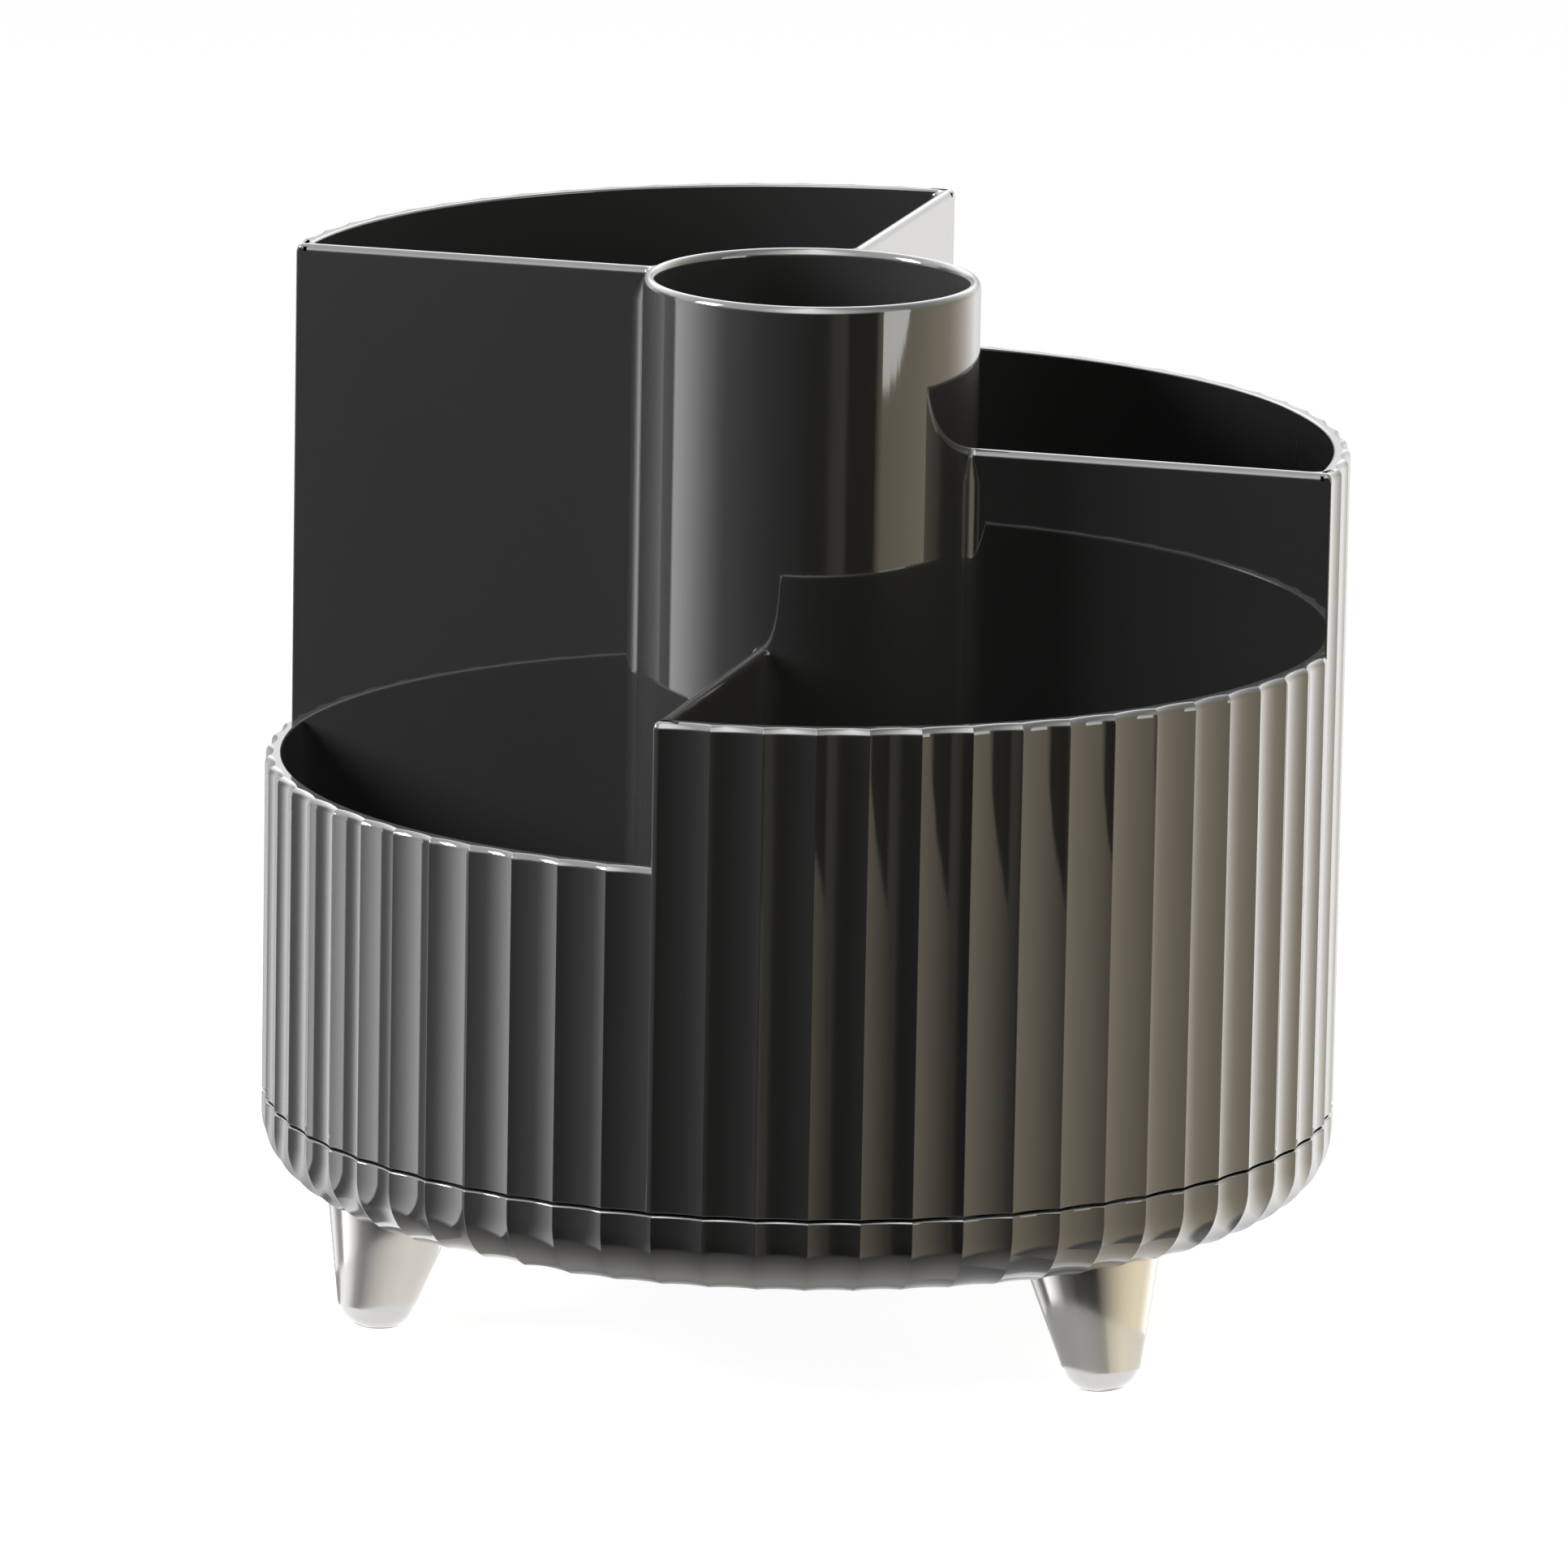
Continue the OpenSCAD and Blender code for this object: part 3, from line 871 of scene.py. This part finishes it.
def panel_material():
    """Glows as painted on the points of its mesh."""
    mat, tree, out = bare_material("panel_light")
    glow = tree.nodes.new("ShaderNodeEmission")
    tree.links.new(glow.outputs[0], out.inputs["Surface"])
    painted = tree.nodes.new("ShaderNodeAttribute")
    painted.attribute_name = "light"
    tree.links.new(painted.outputs["Color"], glow.inputs["Color"])
    glow.inputs["Strength"].default_value = 1.0
    return mat


def table(rows, at, value=1):
    """Reads a table of rows at some angles, by default their brightness."""
    return np.interp(at, [row[0] for row in rows], [row[value] for row in rows])


def smooth(value, low, high):
    share = np.clip((value - low) / (high - low), 0, 1)
    return share * share * (3 - 2 * share)


def closed_bands(rows, cols):
    """Faces of a grid of points whose rows are closed rings."""
    faces = []
    for i in range(rows - 1):
        for j in range(cols):
            k = (j + 1) % cols
            faces.append((i * cols + j, i * cols + k, (i + 1) * cols + k, (i + 1) * cols + j))
    return faces


def gloss_only(name, points, level, warmth):
    """A glowing sheet that gloss alone sees, its brightness painted on its points."""
    tint = np.array(NEUTRAL) + (np.array(WARM) - np.array(NEUTRAL)) * warmth[..., None]
    colours = np.concatenate([tint * level[..., None], np.ones(level.shape + (1,))], axis=-1)
    sheet = stage_mesh(name, points.tolist(), closed_bands(*level.shape))
    layer = sheet.data.attributes.new("light", "FLOAT_COLOR", "POINT")
    layer.data.foreach_set("color", colours.astype(np.float32).ravel())
    sheet.data.materials.append(panel_light)
    sheet.visible_camera = False
    sheet.visible_diffuse = False
    sheet.visible_transmission = False
    sheet.visible_volume_scatter = False
    sheet.visible_shadow = False
    sheet.visible_glossy = True


def light_globe():
    """A far globe round the object, with the panels, window, ground and light from above."""
    around = np.linspace(-180, 180, 720, endpoint=False)
    # Rings by height, close together where edges lie
    heights = np.concatenate(
        [
            np.linspace(-89.9, -48, 22),
            np.linspace(-47, -38, 13),
            np.linspace(-36, -18, 5),
            np.linspace(-17.2, -14, 5),
            np.linspace(-13.4, -10.3, 63),
            np.linspace(-8, 4, 4),
            np.linspace(6, 40, 18),
            np.linspace(45, 89.9, 7),
        ]
    )
    height, angle = np.meshgrid(heights, around, indexing="ij")
    level = table(PANELS, angle)
    warmth = table(PANELS, angle, value=2)
    in_dark = (angle > DARK_SPAN[0]) & (angle < DARK_SPAN[1])
    level = np.where(in_dark & (height < table(DARK_EDGE, angle)), table(FRONT_RIGHT, angle), level)
    window = (angle > WINDOW_SPAN[0]) & (angle < WINDOW_SPAN[1])
    window = window & (height > table(WINDOW_EDGE, angle)) & (height < WINDOW_TOP)
    level = np.where(window, WINDOW_LIGHT, level)
    warmth = np.where(window, WINDOW_WARMTH, warmth)
    below = smooth(-height, *GROUND_BLEND)
    level = level + (table(GROUND, -height) - level) * below
    above = smooth(height, *TOP_BLEND)
    level = level + (table(TOP_LIGHT, angle) - level) * above
    warmth = (warmth * (1 - below) + GROUND_WARMTH * below) * (1 - above)
    spot_at, spot_up, spot_w, spot_h, spot_light = LAMP_SPOT
    spot = (np.abs(angle - spot_at) < spot_w) & (np.abs(height - spot_up) < spot_h)
    level = np.where(spot, spot_light, level)
    rise = np.radians(height)
    flat = az(np.radians(angle) + CAMERA_AZ, np.cos(rise))
    points = np.concatenate([flat, np.sin(rise)[..., None]], axis=-1)
    points = points.reshape(-1, 3) * GLOBE_R + np.array([0, 0, AIM_Z])
    gloss_only("light_globe", points, level, warmth)


def painted_foot_reflection(name, angle, rows):
    """A glowing sheet round a foot, painted by angle with the reflection its polished sides show: a
    painted reflection, not the ground.
    """
    around = np.linspace(-180, 180, 180, endpoint=False)
    ring, turn = np.meshgrid(np.array(FOOT_SHEET_RINGS), around, indexing="ij")
    # Painted highlight: the sheet glows brighter under the foot's tip
    tip_highlight = ring < TIP_RING
    level = np.where(tip_highlight, TIP_PAINTED_HIGHLIGHT, table(rows, turn))
    warmth = np.where(tip_highlight, 0.0, table(rows, turn, value=2))
    flat = az(np.radians(turn) + CAMERA_AZ) * ring[..., None] + az(math.radians(angle), FOOT_TIP_AT)
    points = np.concatenate([flat, np.full(level.shape + (1,), FOOT_SHEET_LIFT)], axis=-1)
    gloss_only(name, points.reshape(-1, 3) * MM, level, warmth)


floor = stage_mesh(
    "floor",
    [
        (-FLOOR_SIDE, -FLOOR_SIDE, 0),
        (FLOOR_SIDE, -FLOOR_SIDE, 0),
        (FLOOR_SIDE, FLOOR_SIDE, 0),
        (-FLOOR_SIDE, FLOOR_SIDE, 0),
    ],
    [(0, 1, 2, 3)],
)
floor.data.materials.append(floor_material())
# The globe holds the ground that gloss sees
floor.visible_glossy = False

panel_light = panel_material()
light_globe()
# Painted reflections for the feet, on glowing sheets round them that only gloss sees
painted_foot_reflection("left_foot_reflection", FOOT_ANGLES[0], LEFT_FOOT_REFLECTION)
painted_foot_reflection("right_foot_reflection", FOOT_ANGLES[1], RIGHT_FOOT_REFLECTION)
painted_foot_reflection("rear_foot_reflection", FOOT_ANGLES[2], LEFT_FOOT_REFLECTION)

# A white background, and a faint even fill on the object
FILL = 0.08
world = bpy.data.worlds.new("studio")
bpy.context.scene.world = world
world.use_nodes = True
sky = world.node_tree
sky.nodes.clear()
sky_out = sky.nodes.new("ShaderNodeOutputWorld")
sky_back = sky.nodes.new("ShaderNodeBackground")
sky_back.inputs["Color"].default_value = (1.0, 1.0, 1.0, 1.0)
sky.links.new(spread(sky, seen_rays(sky), FILL, 1.0), sky_back.inputs["Strength"])
sky.links.new(sky_back.outputs[0], sky_out.inputs["Surface"])


def soft_lamp(name, angle, rise, distance, size, power, colour):
    """A large soft lamp aimed at the object. The panels above stand for it in the gloss."""
    data = bpy.data.lights.new(name, "AREA")
    data.shape = "SQUARE"
    data.size = size
    data.energy = power
    data.color = colour
    lamp = bpy.data.objects.new(name, data)
    bpy.context.scene.collection.objects.link(lamp)
    t = math.radians(angle) + CAMERA_AZ
    e = math.radians(rise)
    back = Vector((math.sin(t) * math.cos(e), -math.cos(t) * math.cos(e), math.sin(e)))
    lamp.location = Vector((0, 0, AIM_Z)) + back * distance
    lamp.rotation_mode = "QUATERNION"
    lamp.rotation_quaternion = back.to_track_quat("Z", "Y")
    lamp.visible_camera = False
    lamp.visible_glossy = False


soft_lamp("key", -78.0, 26.0, 0.58, 0.26, 3.7, (1.0, 1.0, 1.0))
soft_lamp("side", 66.0, 28.0, 0.95, 0.8, 2.3, (1.0, 0.94, 0.80))

# The camera, at the photograph's viewing angle
CAMERA_BACK = 1.8900
CAMERA_UP = 0.4945
YAW = -0.0014
PITCH_DOWN = -0.2186
ROLL = 0.0181
LENS = 318.95
SENSOR = 36.0
CLIP_START = 0.05
CLIP_END = 200.0


def make_camera():
    turn = Matrix.Rotation(CAMERA_AZ, 3, "Z")
    cp, sp = math.cos(PITCH_DOWN), math.sin(PITCH_DOWN)
    forward = Vector((math.sin(YAW) * cp, math.cos(YAW) * cp, sp))
    level_right = forward.cross(Vector((0, 0, 1))).normalized()
    level_up = level_right.cross(forward)
    right = level_right * math.cos(ROLL) + level_up * math.sin(ROLL)
    up = level_up * math.cos(ROLL) - level_right * math.sin(ROLL)
    rot = Matrix((right, up, -forward)).transposed()
    data = bpy.data.cameras.new("camera")
    data.sensor_width = SENSOR
    data.lens = LENS
    data.clip_start = CLIP_START
    data.clip_end = CLIP_END
    cam = bpy.data.objects.new("camera", data)
    bpy.context.scene.collection.objects.link(cam)
    place = turn @ Vector((0, -CAMERA_BACK, CAMERA_UP))
    cam.matrix_world = Matrix.Translation(place) @ (turn @ rot).to_4x4()
    bpy.context.scene.camera = cam


make_camera()
bpy.context.scene.view_settings.view_transform = "Standard"
